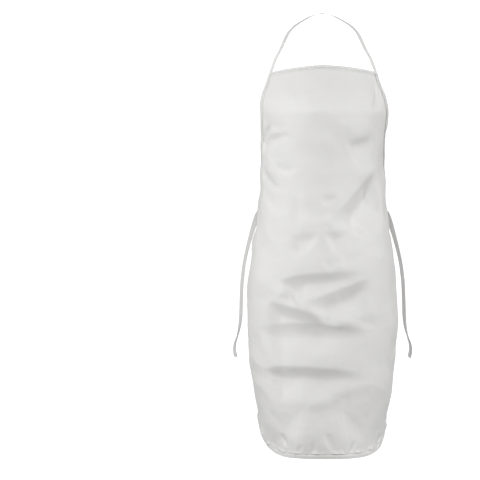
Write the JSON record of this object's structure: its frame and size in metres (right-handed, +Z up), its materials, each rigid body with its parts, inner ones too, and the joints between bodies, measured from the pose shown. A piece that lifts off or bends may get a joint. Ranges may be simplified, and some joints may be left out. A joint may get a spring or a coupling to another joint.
{
  "type": "bib apron",
  "caption": "Plain pale bib apron in its worn form: one wrapped cloth panel with rounded lower corners, turned hems, bound armholes, a neck loop and loose waist ties.",
  "frame": {"origin": "underside of the neck loop at its highest point, where it sits on the neck", "axes": "+Z up, the apron's front faces -Y, +X towards the wearer's left"},
  "size_m": [0.4032, 0.2539, 0.9802],
  "materials": {
    "cloth": "matt off-white plain-weave cotton and polyester twill",
    "tape": "matt off-white folded and stitched cotton tape"
  },
  "bodies": {
    "root": {"body_panel": "cloth", "top_hem": "cloth", "bottom_hem": "cloth", "left_side_hem": "cloth", "right_side_hem": "cloth", "left_armhole_binding": "tape", "right_armhole_binding": "tape", "left_waist_tie": "tape", "right_waist_tie": "tape", "neck_loop": "tape"}
  },
  "joints": []
}
